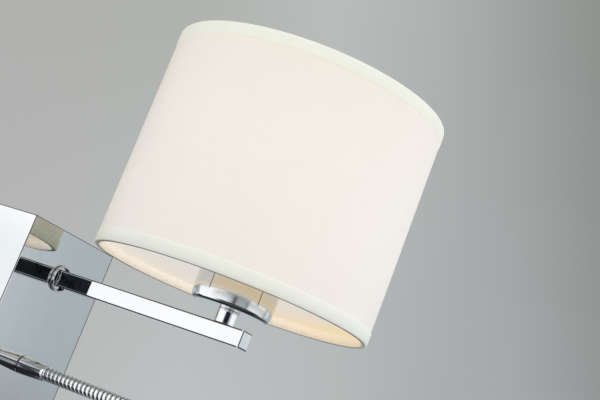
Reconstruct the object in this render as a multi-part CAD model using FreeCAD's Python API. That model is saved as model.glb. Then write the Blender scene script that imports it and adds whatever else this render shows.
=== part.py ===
"""Hotel bedside wall lamp with a drum shade and a flexible reading light.

A folded chrome wall box hangs on a steel plate. A square arm stands straight out of its front and
carries a chrome cup, an E27 lampholder and a hard-backed fabric drum shade. A gooseneck below the arm
carries a small LED spotlight, and two rocker switches sit at the foot of the box.

Frame, in millimetres: +Z is up, the wall is the plane y = 0, the lamp stands out along -Y, and the
origin is the centre of the box's back. Every piece is written to parts/NODE.step.
"""

import FreeCAD, Part
import math
import os

V = FreeCAD.Vector
X_AXIS, Y_AXIS, Z_AXIS = V(1, 0, 0), V(0, 1, 0), V(0, 0, 1)

# ---- driving dimensions ----
BOX_W, BOX_H, BOX_D = 80.0, 150.0, 42.0   # wall box, outside
SHEET = 1.2                               # its sheet thickness
BOX_EDGE_R = 0.8                          # polished outer edges
FRONT_Y = -BOX_D                          # outer face of the front panel
PANEL_Y = FRONT_Y + SHEET                 # its inner face

ARM_Z = BOX_H / 2 - 27.0                  # axis of the arm
ARM_SIDE, ARM_WALL = 10.0, 1.0            # square tube
ARM_EDGE_R = 1.0                          # its polished edges
ARM_LENGTH = 135.8                        # front panel to the end cap
CAP_PLATE = 1.2
POST_REACH = 119.0                        # front panel to the axis of the post, the cup and the bulb
POST_Y = FRONT_Y - POST_REACH
SHADE_SHIFT = 3.0                         # the shade hangs this far towards the wall on its loose hub

POST_R = 6.2
CUP_R, CUP_WALL, CUP_EDGE_R = 23.5, 1.0, 2.7
CUP_FLARE_R, CUP_FLARE = 35.0, 6.5        # above its rounded foot the wall flares out on a long arc, this high
CUP_BOTTOM = ARM_Z + 13.0
CUP_TOP = ARM_Z + 60.0

SHADE_R = 80.0                            # over the edge tapes
SHADE_H = 128.0
SHADE_BOTTOM = ARM_Z + 20.7
SHADE_TOP = SHADE_BOTTOM + SHADE_H
TAPE = 0.5                                # edge tape thickness
TAPE_BAND = 7.5                           # how far it reaches over the cloth
CLOTH = 0.4
LINER = 0.5
RING_WIRE_R = 1.2

GOOSE_Z = ARM_Z - 54.5                    # axis of the gooseneck where it leaves the box
FERRULE_R, FERRULE_LENGTH = 5.6, 19.0
HOSE_R = 4.0
HOSE_STRAIGHT = 85.0                      # straight run of hose, then a bend, then a short straight end
BEND_R, BEND_DEG = 120.0, 50.0
HOSE_END = 205.0                          # hose length
HOSE_JOINTS = [14.0, 54.0, 94.0, 134.0, 174.0]   # distances along the hose where the links pivot
LINK_GAP = 1.3                            # half the gap between two links
BALL_R, BALL_CLEARANCE = 2.6, 0.08

SWITCH_Z = -46.0
SWITCH_X = 17.0
THREAD_R, BORE_R = 4.0, 2.6               # M8 hollow studs and the wire bore through them
NIPPLE_R, NIPPLE_BORE_R = 3.0, 2.0        # M6 hollow nipple under the lampholder
LEAD_R = 0.8


# ---- helpers ----
def box(x, y, z):
    """A box between the two ends given for each axis."""
    return Part.makeBox(x[1] - x[0], y[1] - y[0], z[1] - z[0], V(x[0], y[0], z[0]))


def rod(radius, start, end):
    """A round bar between two points."""
    run = end - start
    return Part.makeCylinder(radius, run.Length, start, run)


def ring(outer, inner, start, end):
    """A tube between two points."""
    return rod(outer, start, end).cut(rod(inner, start, end))


def cone(r_start, r_end, start, end):
    run = end - start
    return Part.makeCone(r_start, r_end, run.Length, start, run)


def turned(profile, foot, along=Z_AXIS):
    """A solid turned from (radius, height) points about the line through foot along the given axis."""
    points = [V(r, 0, h) for r, h in profile]
    face = Part.Face(Part.makePolygon(points + points[:1]))
    solid = face.revolve(V(0, 0, 0), Z_AXIS, 360)
    solid.Placement = FreeCAD.Placement(foot, FreeCAD.Rotation(Z_AXIS, along))
    return solid


def hexagon(across_flats, start, end):
    """A hexagonal bar between two points."""
    run = end - start
    corner = across_flats / math.sqrt(3)
    turn = FreeCAD.Rotation(Z_AXIS, run)
    points = [start + turn.multVec(V(corner * math.cos(k * math.pi / 3), corner * math.sin(k * math.pi / 3), 0))
              for k in range(6)]
    return Part.Face(Part.makePolygon(points + points[:1])).extrude(run)


def lead(points, bend_r, radius=LEAD_R):
    """An insulated wire through the points, with every corner rounded to bend_r."""
    edges, at = [], points[0]
    for before, corner, after in zip(points, points[1:], points[2:]):
        back, on = (before - corner).normalize(), (after - corner).normalize()
        turn = math.pi - back.getAngle(on)
        reach = bend_r * math.tan(turn / 2)
        start, end = corner + back * reach, corner + on * reach
        middle = corner + (back + on).normalize() * (bend_r / math.cos(turn / 2) - bend_r)
        edges += [Part.LineSegment(at, start).toShape(), Part.Arc(start, middle, end).toShape()]
        at = end
    edges.append(Part.LineSegment(at, points[-1]).toShape())
    circle = Part.Wire(Part.makeCircle(radius, points[0], points[1] - points[0]))
    return Part.Wire(edges).makePipeShell([circle], True, True)


def group(solids):
    """Several separate solids in one node."""
    return Part.makeCompound(solids)


def at_post(height):
    """The point on the post's axis at a height above the arm's axis."""
    return V(0, POST_Y, ARM_Z + height)


def in_shade(height):
    """The point on the shade's axis at a height above the arm's axis."""
    return V(0, POST_Y + SHADE_SHIFT, ARM_Z + height)


# ---- wall box ----
def wall_box():
    outer = box((-BOX_W / 2, BOX_W / 2), (FRONT_Y, 0), (-BOX_H / 2, BOX_H / 2))
    front_edges = [e for e in outer.Edges if all(v.Y < FRONT_Y / 2 for v in e.Vertexes)]
    side_edges = [e for e in outer.Edges if abs(e.Vertexes[0].Y - e.Vertexes[1].Y) > 1]
    outer = outer.makeFillet(BOX_EDGE_R, front_edges + side_edges)
    half_w, half_h = BOX_W / 2 - SHEET, BOX_H / 2 - SHEET
    shell = outer.cut(box((-half_w, half_w), (PANEL_Y, 1), (-half_h, half_h)))
    for z in (ARM_Z, GOOSE_Z):
        shell = shell.cut(rod(THREAD_R + 0.2, V(0, FRONT_Y - 1, z), V(0, PANEL_Y + 1, z)))
    for x in (-SWITCH_X, SWITCH_X):
        shell = shell.cut(box((x - 6.6, x + 6.6), (FRONT_Y - 1, PANEL_Y + 1), (SWITCH_Z - 9.6, SWITCH_Z + 9.6)))
    for end in (-1, 1):
        shell = shell.cut(rod(2.2, V(0, -8, end * (half_h - 1)), V(0, -8, end * (half_h + 3))))
    return shell


PLATE_T = 1.5
PLATE_HALF_W, PLATE_HALF_H = BOX_W / 2 - SHEET - 0.3, BOX_H / 2 - SHEET - 0.3
WALL_HOLE_Z, WALL_HOLE_R = 62.0, 2.25
ENTRY_Z, ENTRY_R = 46.0, 7.0
EARTH_AT = V(22, -PLATE_T, 34)


def mounting_plate():
    plate = box((-PLATE_HALF_W, PLATE_HALF_W), (-PLATE_T, 0), (-PLATE_HALF_H, PLATE_HALF_H))
    for end in (-1, 1):
        inner, outer = sorted((end * (PLATE_HALF_H - PLATE_T), end * PLATE_HALF_H))
        plate = plate.fuse(box((-10, 10), (-14, -PLATE_T), (inner, outer)))
        plate = plate.cut(rod(2.0, V(0, -8, end * (PLATE_HALF_H - 3)), V(0, -8, end * (PLATE_HALF_H + 1))))
        plate = plate.cut(rod(WALL_HOLE_R, V(0, -3, end * WALL_HOLE_Z), V(0, 1, end * WALL_HOLE_Z)))
    plate = plate.cut(rod(ENTRY_R, V(0, -3, ENTRY_Z), V(0, 1, ENTRY_Z)))
    plate = plate.cut(rod(1.5, EARTH_AT, EARTH_AT + Y_AXIS * 2))
    return plate.removeSplitter()


def cover_screws():
    """Two domed M4 screws that hold the box to the plate's tabs."""
    screws = []
    for end in (-1, 1):
        up = Z_AXIS * end
        seat = V(0, -8, end * BOX_H / 2)
        head = turned([(0, 0), (3.6, 0), (3.6, 0.9), (2.9, 1.8), (1.6, 2.3), (0, 2.4)], seat, up)
        slot = box((-5, 5), (-8.4, -7.6), tuple(sorted((seat.z + end * 1.5, seat.z + end * 3))))
        screws.append(head.cut(slot).fuse(rod(1.95, seat, seat - up * 6)))
    return group(screws)


def cable_grommet():
    """Rubber ring round the supply cable's way through the plate."""
    start = V(0, -3.5, ENTRY_Z)
    profile = [(5.0, 0), (8.5, 0), (8.5, 2.0), (ENTRY_R, 2.0), (ENTRY_R, 3.5), (5.0, 3.5)]
    return turned(profile, start, Y_AXIS)


TERMINAL_X, TERMINAL_Z, TERMINAL_Y = (-15.0, 15.0), (6.0, 24.0), (-16.5, -PLATE_T)
POLES = (-10.0, 0.0, 10.0)


def terminal_block():
    block = box(TERMINAL_X, TERMINAL_Y, TERMINAL_Z)
    for between in (-5.0, 5.0):
        block = block.cut(box((between - 0.6, between + 0.6), (-17, -10), (5, 25)))
    for x in POLES:
        for z in (11.0, 19.0):
            block = block.cut(rod(2.0, V(x, -17, z), V(x, -12, z)))
    return block


def terminal_screws():
    screws = []
    for x in POLES:
        for z in (11.0, 19.0):
            head = rod(1.7, V(x, -15, z), V(x, -12, z))
            screws.append(head.cut(box((x - 2, x + 2), (-15.1, -14.4), (z - 0.3, z + 0.3))))
    return group(screws)


def earth_screw():
    """Pan-head screw with the ring tag of the earth lead under it."""
    tag = ring(4.0, 1.45, EARTH_AT, EARTH_AT - Y_AXIS * 0.8)
    head = rod(3.0, EARTH_AT - Y_AXIS * 0.8, EARTH_AT - Y_AXIS * 3.0)
    shank = rod(1.45, EARTH_AT - Y_AXIS * 0.8, EARTH_AT + Y_AXIS * 1.4)
    return tag.fuse(head).fuse(shank)


DRIVER_Z = (-35.5, -13.5)


def led_driver():
    case = box((-26, 26), (-21.5, -PLATE_T), DRIVER_Z)
    return case.makeFillet(1.5, [e for e in case.Edges if all(v.Y < -20 for v in e.Vertexes)])


# ---- leads inside the box and the arm ----
def lamp_leads():
    """Two leads from the terminal block along the arm and up the post into the lampholder."""
    leads = []
    for x in (-0.9, 0.9):
        route = [V(x, POST_Y, ARM_Z + 23), V(x, POST_Y, ARM_Z), V(x, -13, ARM_Z), V(x, -13, TERMINAL_Z[1])]
        leads.append(lead(route, 2.6))
    return group(leads)


def reading_leads():
    """Two leads from the driver into the gooseneck's stud."""
    leads = []
    for x in (-1.0, 1.0):
        route = [V(x, -11, DRIVER_Z[1]), V(x, -11, GOOSE_Z), V(x, FRONT_Y - FERRULE_LENGTH + 1, GOOSE_Z)]
        leads.append(lead(route, 3.0))
    return group(leads)


def switch_leads():
    """A lead from each switch round the driver to the terminal block."""
    leads = []
    for side in (-1, 1):
        x, aside, pole = side * SWITCH_X, side * 31.0, side * 10.0
        top = SWITCH_Z + 5.0
        route = [V(x, -18, top), V(x, -10, top), V(aside, -10, top), V(aside, -10, -2),
                 V(pole, -10, -2), V(pole, -10, TERMINAL_Z[0])]
        leads.append(lead(route, 3.0))
    return group(leads)


def earth_lead():
    tag_y = EARTH_AT.y - 3.0
    route = [V(10, -9.5, TERMINAL_Z[1]), V(10, -9.5, EARTH_AT.z), V(EARTH_AT.x, -9.5, EARTH_AT.z),
             V(EARTH_AT.x, tag_y, EARTH_AT.z)]
    return lead(route, 2.4)


# ---- rocker switches ----
PIVOT_Y = FRONT_Y - 1.0      # rocker pivot, just proud of the panel
ROCKER_R = 8.3               # the rocker's ends are arcs of this radius about its pivot
ROCKER_TILT = 10.0           # it rests tipped this far, switched on


def switch_body(x):
    """Bezel outside the panel and the contact housing behind it, hollow for the rocker."""
    z0, z1 = SWITCH_Z - 10.5, SWITCH_Z + 10.5
    bezel = box((x - 7.5, x + 7.5), (FRONT_Y - 2.0, FRONT_Y), (z0, z1))
    bezel = bezel.makeFillet(0.9, [e for e in bezel.Edges if all(v.Y < FRONT_Y - 1 for v in e.Vertexes)])
    housing = box((x - 6.4, x + 6.4), (FRONT_Y, FRONT_Y + 14.0), (SWITCH_Z - 9.4, SWITCH_Z + 9.4))
    hollow = box((x - 5.0, x + 5.0), (FRONT_Y - 3, PIVOT_Y + 6.2), (SWITCH_Z - 8.6, SWITCH_Z + 8.6))
    pin_hole = rod(1.05, V(x - 6.2, PIVOT_Y, SWITCH_Z), V(x + 6.2, PIVOT_Y, SWITCH_Z))
    return bezel.fuse(housing).cut(hollow).cut(pin_hole).removeSplitter()


def switch_rocker(x):
    """A paddle with two faces that meet in a shallow valley, on a pin through its middle."""
    width = 4.75
    disc = rod(ROCKER_R, V(x - width, PIVOT_Y, SWITCH_Z), V(x + width, PIVOT_Y, SWITCH_Z))
    valley, end = PIVOT_Y - 1.6, PIVOT_Y - 3.2
    outline = [V(x - width, PIVOT_Y + 3.8, SWITCH_Z - 9), V(x - width, end, SWITCH_Z - 9),
               V(x - width, valley, SWITCH_Z), V(x - width, end, SWITCH_Z + 9),
               V(x - width, PIVOT_Y + 3.8, SWITCH_Z + 9)]
    blank = Part.Face(Part.makePolygon(outline + outline[:1])).extrude(V(2 * width, 0, 0))
    pin = rod(1.0, V(x - 6.0, PIVOT_Y, SWITCH_Z), V(x + 6.0, PIVOT_Y, SWITCH_Z))
    rocker = disc.common(blank).fuse(pin)
    rocker.rotate(V(x, PIVOT_Y, SWITCH_Z), X_AXIS, ROCKER_TILT)
    return rocker.removeSplitter()


def switch_terminals():
    """Two spade terminals behind each switch."""
    spades = []
    for x in (-SWITCH_X, SWITCH_X):
        for z in (SWITCH_Z - 5.0, SWITCH_Z + 5.0):
            spades.append(box((x - 2.4, x + 2.4), (FRONT_Y + 14.0, FRONT_Y + 22.0), (z - 0.4, z + 0.4)))
    return group(spades)


# ---- arm ----
ARM_END_Y = FRONT_Y - ARM_LENGTH
ARM_INSIDE = ARM_SIDE / 2 - ARM_WALL


def square_bar(half, y_from, y_to):
    return box((-half, half), (y_from, y_to), (ARM_Z - half, ARM_Z + half))


def arm_tube():
    tube = square_bar(ARM_SIDE / 2, ARM_END_Y + CAP_PLATE, FRONT_Y)
    tube = tube.makeFillet(ARM_EDGE_R, [e for e in tube.Edges if abs(e.Vertexes[0].Y - e.Vertexes[1].Y) > 1])
    tube = tube.cut(square_bar(ARM_INSIDE, ARM_END_Y, FRONT_Y + 1))
    return tube.cut(rod(NIPPLE_R + 0.1, at_post(0), at_post(6)))


def arm_end_cap():
    plate = square_bar(ARM_SIDE / 2, ARM_END_Y, ARM_END_Y + CAP_PLATE)
    outside = [e for e in plate.Edges if all(v.Y < ARM_END_Y + 0.1 for v in e.Vertexes)]
    plate = plate.makeFillet(ARM_EDGE_R, outside)
    return plate.fuse(square_bar(ARM_INSIDE - 0.05, ARM_END_Y + CAP_PLATE, ARM_END_Y + CAP_PLATE + 5))


def arm_root_stud():
    """Square block brazed into the arm, with a hollow M8 stud through the panel."""
    stud = square_bar(ARM_INSIDE - 0.05, FRONT_Y - 14, FRONT_Y)
    stud = stud.fuse(rod(THREAD_R, V(0, FRONT_Y, ARM_Z), V(0, PANEL_Y + 13, ARM_Z)))
    return stud.cut(rod(BORE_R, V(0, FRONT_Y - 15, ARM_Z), V(0, PANEL_Y + 14, ARM_Z)))


def arm_collar():
    """Round chrome ring against the panel, its bore just clear of the square arm's corners."""
    profile = [(6.8, 0), (7.8, 0), (8.05, 0.3), (8.1, 1.2), (8.0, 1.9), (7.75, 2.3), (7.35, 2.4),
               (7.0, 2.25), (6.8, 1.9)]
    return turned(profile, V(0, FRONT_Y, ARM_Z), -Y_AXIS)


def panel_nuts():
    """The M8 nuts and washers inside the panel, for the arm and the gooseneck."""
    nuts = []
    for z in (ARM_Z, GOOSE_Z):
        washer = ring(8.0, THREAD_R + 0.05, V(0, PANEL_Y, z), V(0, PANEL_Y + 1.2, z))
        nut = hexagon(13.0, V(0, PANEL_Y + 1.2, z), V(0, PANEL_Y + 7.2, z))
        nuts += [washer, nut.cut(rod(THREAD_R + 0.05, V(0, PANEL_Y, z), V(0, PANEL_Y + 8, z)))]
    return group(nuts)


# ---- post, cup and lampholder ----
CUP_FOOT = CUP_BOTTOM - ARM_Z
ARM_TOP = ARM_SIDE / 2
NUT_FOOT = 1.2
SLIT_WIDTH, SLIT_BOTTOM, SLIT_TOP = 0.45, 19.0, 52.0
SLIT_COUNT, SLIT_START_DEG = 5, 174.0


def post_tube():
    return ring(POST_R, NIPPLE_R + 0.1, at_post(ARM_TOP), at_post(CUP_FOOT))


def post_nipple():
    return ring(NIPPLE_R, NIPPLE_BORE_R, at_post(NUT_FOOT), at_post(25))


def post_nut():
    """Square nut that can't turn inside the arm."""
    half = ARM_INSIDE - 0.1
    nut = box((-half, half), (POST_Y - half, POST_Y + half), (ARM_Z + NUT_FOOT, ARM_Z + ARM_INSIDE))
    return nut.cut(rod(NIPPLE_R + 0.05, at_post(0), at_post(5)))


def cup_outline(offset):
    """The cup's section from the middle of its foot to its rim, moved inward by offset."""
    lean = math.asin(CUP_FLARE / CUP_FLARE_R)
    edge_r = CUP_EDGE_R - offset
    wall_r = CUP_R - CUP_FLARE_R * (1 - math.cos(lean))
    edge_at = V(wall_r - CUP_EDGE_R * math.cos(lean), 0, CUP_EDGE_R)
    flare_top = CUP_EDGE_R * (1 - math.sin(lean)) + CUP_FLARE
    flare_at = V(CUP_R - CUP_FLARE_R, 0, flare_top)

    def on(centre, radius, angle):
        return centre + V(math.cos(angle), 0, -math.sin(angle)) * radius

    middle, foot = V(0, 0, offset), on(edge_at, edge_r, math.pi / 2)
    knee, wall = on(edge_at, edge_r, lean), on(flare_at, CUP_FLARE_R - offset, 0)
    rim, top = V(wall.x, 0, CUP_TOP - CUP_BOTTOM), V(0, 0, CUP_TOP - CUP_BOTTOM)
    edges = [Part.LineSegment(middle, foot).toShape(),
             Part.Arc(foot, on(edge_at, edge_r, (lean + math.pi / 2) / 2), knee).toShape(),
             Part.Arc(knee, on(flare_at, CUP_FLARE_R - offset, lean / 2), wall).toShape(),
             Part.LineSegment(wall, rim).toShape(), Part.LineSegment(rim, top).toShape(),
             Part.LineSegment(top, middle).toShape()]
    solid = Part.Face(Part.Wire(edges)).revolve(V(0, 0, 0), Z_AXIS, 360)
    solid.translate(at_post(CUP_FOOT))
    return solid


def lamp_cup():
    """Chrome cup, open at the top, with a rounded foot and vent slits."""
    inside = CUP_R - CUP_WALL
    cup = cup_outline(0).cut(cup_outline(CUP_WALL))
    cup = cup.cut(rod(NIPPLE_R + 0.1, at_post(CUP_FOOT - 1), at_post(CUP_FOOT + 3)))
    for k in range(SLIT_COUNT):
        slit = box((inside - 1, CUP_R + 1), (-SLIT_WIDTH / 2, SLIT_WIDTH / 2), (SLIT_BOTTOM, SLIT_TOP))
        slit.rotate(V(0, 0, 0), Z_AXIS, SLIT_START_DEG + k * 360 / SLIT_COUNT)
        slit.translate(V(0, POST_Y, ARM_Z))
        cup = cup.cut(slit)
    return cup


def holder_nut():
    """Nut inside the cup that clamps the cup to the post."""
    start = at_post(CUP_FOOT + CUP_WALL)
    return hexagon(10.0, start, start + Z_AXIS * 4).cut(rod(NIPPLE_R + 0.05, start, start + Z_AXIS * 5))


HOLDER_R = 19.5
HOLDER_SEAT, HOLDER_SPLIT, HOLDER_RIM = 18.6, 34.0, 72.0


def holder_cap():
    """Lower half of the lampholder, hollow over the end of the nipple."""
    inner = NIPPLE_R + 0.1
    profile = [(inner, HOLDER_SEAT), (14, HOLDER_SEAT), (18, 24), (18, HOLDER_SPLIT), (15.5, HOLDER_SPLIT),
               (15.5, 25.5), (12.5, 21.5), (inner, 21.5)]
    return turned(profile, at_post(0))


def holder_body():
    """Upper half: an insulating cup with an outside thread for the shade rings."""
    thread_root, pitch = HOLDER_R - 0.6, 2.5
    profile = [(0, HOLDER_SPLIT), (18, HOLDER_SPLIT), (18, 38), (HOLDER_R, 39)]
    profile += [(HOLDER_R, 56.0)]
    height = 56.0
    while height + pitch < HOLDER_RIM:
        profile += [(thread_root, height + 0.6), (thread_root, height + 1.2), (HOLDER_R, height + 1.8),
                    (HOLDER_R, height + pitch)]
        height += pitch
    profile += [(HOLDER_R, HOLDER_RIM), (14.2, HOLDER_RIM), (14.2, 42), (0, 42)]
    return turned(profile, at_post(0))


def holder_shell():
    return ring(14.1, 13.6, at_post(43), at_post(69))


def holder_contact():
    """Sprung brass tongue under the bulb's tip."""
    foot = Part.makeCylinder(4.5, 0.6, at_post(42))
    return foot.fuse(Part.makeCylinder(2.5, 1.4, at_post(42.6)))


def shade_clamp_lower():
    profile = [(19.6, 61.5), (27, 61.5), (27, 63), (24, 64.4), (19.6, 64.4)]
    return turned(profile, at_post(0))


def shade_clamp_ring():
    """Ribbed ring that screws down on the shade's hub."""
    blank = turned([(19.6, 66), (27, 66), (27, 70), (26.3, 70.8), (19.6, 70.8)], at_post(0))
    for k in range(24):
        angle = math.radians(k * 15)
        notch = V(27.5 * math.cos(angle), POST_Y + 27.5 * math.sin(angle), ARM_Z + 65)
        blank = blank.cut(rod(0.9, notch, notch + Z_AXIS * 7))
    return blank


# ---- bulb ----
GLOBE_R, GLOBE_CENTRE = 22.5, 101.0


def bulb_cap():
    """Screw cap with its insulated tip."""
    profile = [(0, 44), (3.5, 44), (4.5, 45), (9, 46.5), (12.9, 48.5)]
    height = 48.5
    while height < 66:
        profile += [(13.2, height + 0.9), (13.2, height + 1.6), (12.6, height + 2.6), (12.6, height + 3.0)]
        height += 3.4
    profile += [(13.0, 69), (0, 69)]
    return turned(profile, at_post(0))


def bulb_collar():
    profile = [(0, 69), (13.2, 69), (13.2, 73), (19.5, 83), (21.0, 88), (21.0, 91), (0, 91)]
    return turned(profile, at_post(0))


def bulb_globe():
    globe = Part.makeSphere(GLOBE_R, at_post(GLOBE_CENTRE)).cut(Part.makeSphere(GLOBE_R - 1.2, at_post(GLOBE_CENTRE)))
    return globe.cut(Part.makeCylinder(40, 60, at_post(31)))


# ---- drum shade ----
CLOTH_R = SHADE_R - TAPE                  # outside of the cloth
LINER_R = CLOTH_R - CLOTH                 # outside of the stiff liner
LINER_IN = LINER_R - LINER
RING_R = LINER_IN - RING_WIRE_R           # centre line of the wire rings
EDGE = TAPE                               # the cloth stops this far inside the rim
SHADE_FOOT = SHADE_BOTTOM - ARM_Z
SHADE_HEAD = SHADE_TOP - ARM_Z
HUB_LOW, HUB_HIGH, HUB_R = 64.4, 66.0, 32.0
HUB_HOLE_R = HOLDER_R + SHADE_SHIFT + 0.6
ARM_ANGLES = (90.0, 210.0, 330.0)
SPOKE_R = 1.1


def shade_fabric():
    return ring(CLOTH_R, LINER_R, in_shade(SHADE_FOOT + EDGE), in_shade(SHADE_HEAD - EDGE))


def shade_liner():
    return ring(LINER_R, LINER_IN, in_shade(SHADE_FOOT + EDGE), in_shade(SHADE_HEAD - EDGE))


def shade_trim(rim, inward):
    """Tape folded over a rim: outside band, edge, and a short turn-in round the wire. inward is 1 or -1."""
    turn_in = LINER_IN - 2 * RING_WIRE_R
    steps = [(SHADE_R, 0), (SHADE_R, TAPE_BAND), (CLOTH_R, TAPE_BAND), (CLOTH_R, EDGE), (turn_in, EDGE),
             (turn_in, EDGE + 5), (turn_in - TAPE, EDGE + 5), (turn_in - TAPE, 0)]
    return turned([(r, rim + inward * h) for r, h in steps], in_shade(0))


def shade_trim_top():
    """The top tape's turn-in is notched where the three wires reach the ring."""
    return shade_trim(SHADE_HEAD, -1).cut(shade_arms())


def shade_wire(rim, inward):
    return Part.makeTorus(RING_R, RING_WIRE_R, in_shade(rim + inward * (EDGE + RING_WIRE_R)))


def shade_hub():
    return ring(HUB_R, HUB_HOLE_R, in_shade(HUB_LOW), in_shade(HUB_HIGH))


def shade_arms():
    """Three wires from the hub up to the top ring, their ends cut to the ring's curve."""
    top_wire = shade_wire(SHADE_HEAD, -1)
    arms = []
    for degrees in ARM_ANGLES:
        out = V(math.cos(math.radians(degrees)), math.sin(math.radians(degrees)), 0)
        low = in_shade(HUB_HIGH + SPOKE_R) + out * (HUB_R - 1.2)
        high = in_shade(SHADE_HEAD - EDGE - RING_WIRE_R) + out * RING_R
        arms.append(rod(SPOKE_R, low, high).cut(shade_hub()).cut(top_wire))
    return group([max(a.Solids, key=lambda s: s.Volume) for a in arms])


# ---- gooseneck ----
HOSE_START = V(0, FRONT_Y - FERRULE_LENGTH, GOOSE_Z)
BEND_START = HOSE_START - Y_AXIS * HOSE_STRAIGHT
BEND_CENTRE = BEND_START - Z_AXIS * BEND_R
BEND_END = HOSE_STRAIGHT + math.radians(BEND_DEG) * BEND_R


def hose_at(s):
    """The point on the hose's centre line at distance s, and how far it points down there, in radians."""
    down = min(max(s - HOSE_STRAIGHT, 0), BEND_END - HOSE_STRAIGHT) / BEND_R
    if s <= HOSE_STRAIGHT:
        return HOSE_START - Y_AXIS * s, 0.0
    point = BEND_CENTRE + V(0, -math.sin(down), math.cos(down)) * BEND_R
    return point + hose_direction(down) * max(s - BEND_END, 0), down


def hose_direction(down):
    return V(0, -math.cos(down), -math.sin(down))


def hose_between(s0, s1, radius):
    """Round bar along the hose's centre line."""
    pieces = []
    if s0 < HOSE_STRAIGHT:
        pieces.append(rod(radius, hose_at(s0)[0], hose_at(min(s1, HOSE_STRAIGHT))[0]))
    low, high = max(s0, HOSE_STRAIGHT), min(s1, BEND_END)
    if high > low:
        point, down = hose_at(low)
        disc = Part.Face(Part.Wire(Part.makeCircle(radius, point, hose_direction(down))))
        pieces.append(disc.revolve(BEND_CENTRE, X_AXIS, math.degrees((high - low) / BEND_R)))
    if s1 > BEND_END:
        pieces.append(rod(radius, hose_at(max(s0, BEND_END))[0], hose_at(s1)[0]))
    whole = pieces[0]
    for piece in pieces[1:]:
        whole = whole.fuse(piece)
    return whole.removeSplitter() if len(pieces) > 1 else whole


def hose_link(index):
    """One link of the gooseneck: a socket at its start and a ball at its end, where the next link pivots."""
    stops = [0.0] + HOSE_JOINTS + [HOSE_END]
    start, end = stops[index], stops[index + 1]
    first, last = index == 0, index == len(HOSE_JOINTS)
    link = hose_between(start if first else start + LINK_GAP, end if last else end - LINK_GAP, HOSE_R)
    if not last:
        link = link.fuse(Part.makeSphere(BALL_R, hose_at(end)[0]))
    if not first:
        link = link.cut(Part.makeSphere(BALL_R + BALL_CLEARANCE, hose_at(start)[0]))
    return link


def flex_ferrule():
    """Tapered chrome ferrule between the panel and the hose."""
    length = FERRULE_LENGTH
    profile = [(THREAD_R + 0.05, 0), (FERRULE_R - 0.4, 0), (FERRULE_R, 0.4), (FERRULE_R, 1.5), (5.45, 6.0),
               (5.15, 12.0), (4.7, length - 0.8), (4.3, length), (BORE_R, length), (BORE_R, 9.0),
               (THREAD_R + 0.05, 9.0)]
    return turned(profile, V(0, FRONT_Y, GOOSE_Z), -Y_AXIS)


def flex_stud():
    return ring(THREAD_R, BORE_R, V(0, FRONT_Y - 9.0, GOOSE_Z), V(0, PANEL_Y + 10, GOOSE_Z))


# ---- reading head ----
HEAD_R = 14.0
HEAD_FOOT, HEAD_DOWN = hose_at(HOSE_END)
HEAD_ALONG = hose_direction(HEAD_DOWN)
HEAD_BACK, HEAD_RIM = 12.0, 60.0          # along the head's axis, from the end of the hose


def in_head(profile):
    """A piece turned about the head's axis."""
    return turned(profile, HEAD_FOOT, HEAD_ALONG)


def head_ferrule():
    return in_head([(0, 0), (4.2, 0), (4.55, 0.6), (5.4, 7.0), (6.6, 10.5), (6.6, HEAD_BACK), (0, HEAD_BACK)])


def head_housing():
    """Turned aluminium can with a rounded back and cooling grooves."""
    outside = [(0, HEAD_BACK), (9.5, HEAD_BACK), (12.0, 12.7), (13.4, 14.0), (HEAD_R, 16.0), (HEAD_R, 19.0)]
    for k in range(5):
        groove = 19.0 + k * 3.4
        outside += [(HEAD_R, groove), (HEAD_R - 1.3, groove + 0.2), (HEAD_R - 1.3, groove + 1.4),
                    (HEAD_R, groove + 1.6)]
    inside = [(HEAD_R, HEAD_RIM - 3.0), (12.4, HEAD_RIM - 3.0), (12.4, 44.0), (11.4, 44.0), (11.4, 18.0), (0, 18.0)]
    unique = [p for k, p in enumerate(outside) if k == 0 or p != outside[k - 1]]
    return in_head(unique + inside)


def head_heatsink():
    return in_head([(0, 36.0), (11.3, 36.0), (11.3, 44.0), (12.3, 44.0), (12.3, 46.0), (0, 46.0)])


def head_led_board():
    return in_head([(0, 46.0), (11.5, 46.0), (11.5, 47.6), (0, 47.6)])


def head_led_chip():
    return in_head([(0, 47.6), (2.6, 47.6), (2.6, 48.0), (1.9, 48.6), (0, 48.9)])


def head_optic():
    """Clear collimator: a cone with a pocket over the LED."""
    return in_head([(3.2, 48.0), (4.2, 48.0), (10.6, 55.5), (11.8, 55.5), (11.8, 57.0), (0, 57.0), (0, 50.5),
                    (3.2, 50.5)])


def head_bezel():
    """Chrome ring that closes the can and holds the optic."""
    return in_head([(10.4, 57.0), (12.2, 57.0), (HEAD_R, 57.0), (HEAD_R, 59.0), (13.4, HEAD_RIM),
                    (11.6, HEAD_RIM), (10.4, 58.6)])


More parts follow.
